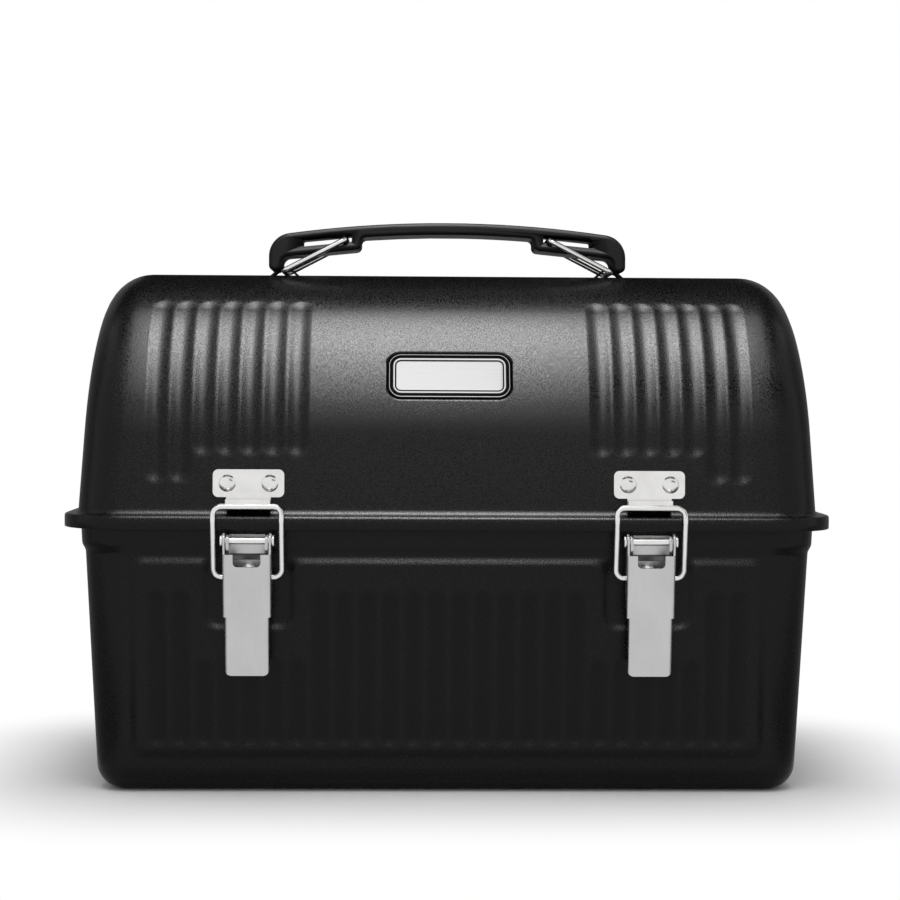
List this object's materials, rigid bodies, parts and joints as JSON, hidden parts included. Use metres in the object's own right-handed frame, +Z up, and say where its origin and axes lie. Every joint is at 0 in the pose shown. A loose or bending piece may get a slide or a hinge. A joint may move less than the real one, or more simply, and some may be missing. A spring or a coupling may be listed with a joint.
{
  "type": "domed metal lunch box",
  "caption": "Domed sheet-metal lunch box with fluted walls, a hinged barrel lid, draw latches, a low lifting handle on wire links and a bottle bail inside the lid.",
  "frame": {"origin": "middle of the flat bottom of the tub", "axes": "+Z up, front with the latches at -Y, +X along the length to the viewer's right"},
  "size_m": [0.3276, 0.173, 0.246],
  "materials": {
    "black_enamel": "fine-grained black powder coat",
    "bright_nickel": "bright nickel plate",
    "satin_steel": "satin plate",
    "grip_plastic": "smooth black moulding",
    "badge_metal": "bright plate with a dark recessed band"
  },
  "bodies": {
    "tub": {"body_tub": "black_enamel", "hinge_body_leaf_left": "satin_steel", "hinge_body_leaf_right": "satin_steel", "hinge_body_rivets": "bright_nickel", "hinge_pin_left": "bright_nickel", "hinge_pin_right": "bright_nickel", "latch_base_left": "satin_steel", "latch_base_right": "satin_steel", "latch_base_rivets": "bright_nickel", "lever_pin_left": "bright_nickel", "lever_pin_right": "bright_nickel"},
    "lid": {"lid_shell": "black_enamel", "badge_plate": "badge_metal", "bail_clip_left": "satin_steel", "bail_clip_right": "satin_steel", "bail_rivets": "bright_nickel", "catch_plate_left": "bright_nickel", "catch_plate_right": "bright_nickel", "catch_rivets": "bright_nickel", "handle_staple_left": "black_enamel", "handle_staple_right": "black_enamel", "hinge_lid_leaf_left": "satin_steel", "hinge_lid_leaf_right": "satin_steel", "hinge_lid_rivets": "bright_nickel"},
    "lever_left": {"latch_lever_left": "satin_steel"},
    "lever_right": {"latch_lever_right": "satin_steel"},
    "loop_left": {"latch_loop_left": "bright_nickel"},
    "loop_right": {"latch_loop_right": "bright_nickel"},
    "grip": {"handle_grip": "grip_plastic"},
    "link_left": {"handle_link_left": "bright_nickel"},
    "link_right": {"handle_link_right": "bright_nickel"},
    "bail": {"bottle_bail": "bright_nickel"}
  },
  "joints": [
    {"name": "lid_hinge", "type": "hinge", "parent": "tub", "child": "lid", "pos_m": [0, 0.0849, 0.1132], "axis": [-1, 0, 0], "range_deg": [0, 105]},
    {"name": "lever_left", "type": "hinge", "parent": "tub", "child": "lever_left", "pos_m": [-0.0839, -0.0818, 0.1081], "axis": [-1, 0, 0], "range_deg": [0, 125]},
    {"name": "loop_left", "type": "hinge", "parent": "lever_left", "child": "loop_left", "pos_m": [-0.0839, -0.07923, 0.09276], "axis": [1, 0, 0], "range_deg": [0, 125]},
    {"name": "lever_right", "type": "hinge", "parent": "tub", "child": "lever_right", "pos_m": [0.0839, -0.0818, 0.1081], "axis": [-1, 0, 0], "range_deg": [0, 125]},
    {"name": "loop_right", "type": "hinge", "parent": "lever_right", "child": "loop_right", "pos_m": [0.0839, -0.07923, 0.09276], "axis": [1, 0, 0], "range_deg": [0, 125]},
    {"name": "handle_lift", "type": "slide", "parent": "lid", "child": "grip", "axis": [0, 0, 1], "range_m": [0, 0.014]},
    {"name": "link_left", "type": "hinge", "parent": "lid", "child": "link_left", "pos_m": [-0.0733, 0, 0.224], "axis": [0, -1, 0], "range_deg": [0, 33]},
    {"name": "link_right", "type": "hinge", "parent": "lid", "child": "link_right", "pos_m": [0.0733, 0, 0.224], "axis": [0, 1, 0], "range_deg": [0, 33]},
    {"name": "bottle_bail", "type": "hinge", "parent": "lid", "child": "bail", "pos_m": [0, 0.06608, 0.129], "axis": [1, 0, 0], "range_deg": [0, 80]}
  ],
  "couplings": [
    {"joint": "loop_left", "follows": "lever_left", "ratio": 1},
    {"joint": "loop_right", "follows": "lever_right", "ratio": 1},
    {"joint": "link_left", "follows": "handle_lift", "rad_per_m": 41.118},
    {"joint": "link_right", "follows": "handle_lift", "rad_per_m": 41.118}
  ]
}
